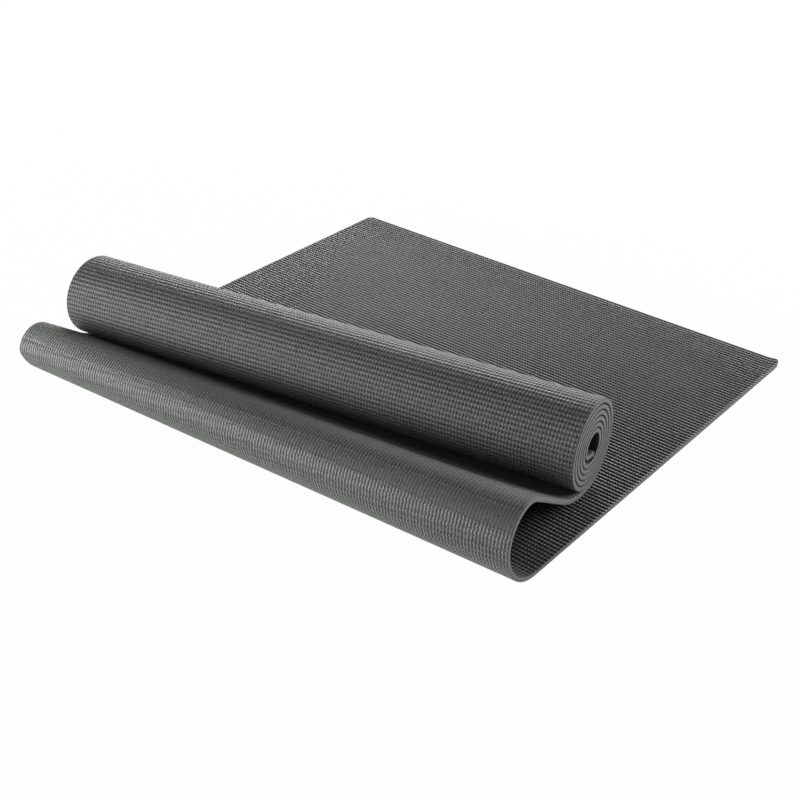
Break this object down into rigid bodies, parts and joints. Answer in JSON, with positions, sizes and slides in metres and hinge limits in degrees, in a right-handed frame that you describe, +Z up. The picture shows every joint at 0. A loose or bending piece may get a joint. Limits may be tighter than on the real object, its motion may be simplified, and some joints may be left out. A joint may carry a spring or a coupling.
{
  "type": "fitness mat",
  "caption": "Thin foam exercise mat, half laid flat and half rolled up, with one open fold between, ribbed on the underside and dimpled on top.",
  "frame": {"origin": "on the underside, in the middle of the laid length", "axes": "+Z up; +X across the mat, towards the near end of the roll; +Y along the mat, towards its free end"},
  "size_m": [0.6394, 0.5546, 0.098],
  "materials": {
    "face_foam": "dark grey closed-cell foam, rows of raised dashes and small pits",
    "scrim": "woven polyester mesh, pale grey",
    "base_foam": "dark grey closed-cell foam with fine ribs and a soft sheen"
  },
  "bodies": {
    "laid_length": {"face_foam_laid": "face_foam", "scrim_laid": "scrim", "base_foam_laid": "base_foam"},
    "rolled_length": {"face_foam_fold": "face_foam", "scrim_fold": "scrim", "base_foam_fold": "base_foam", "face_foam_roll": "face_foam", "scrim_roll": "scrim", "base_foam_roll": "base_foam"}
  },
  "joints": [
    {"name": "fold_opening", "type": "hinge", "parent": "laid_length", "child": "rolled_length", "pos_m": [-0.00015, -0.28222, 0.03982], "axis": [0.9951, 0.0987, 0.0043], "range_deg": [0, 168], "deforming": ["face_foam_fold", "scrim_fold", "base_foam_fold"]}
  ]
}
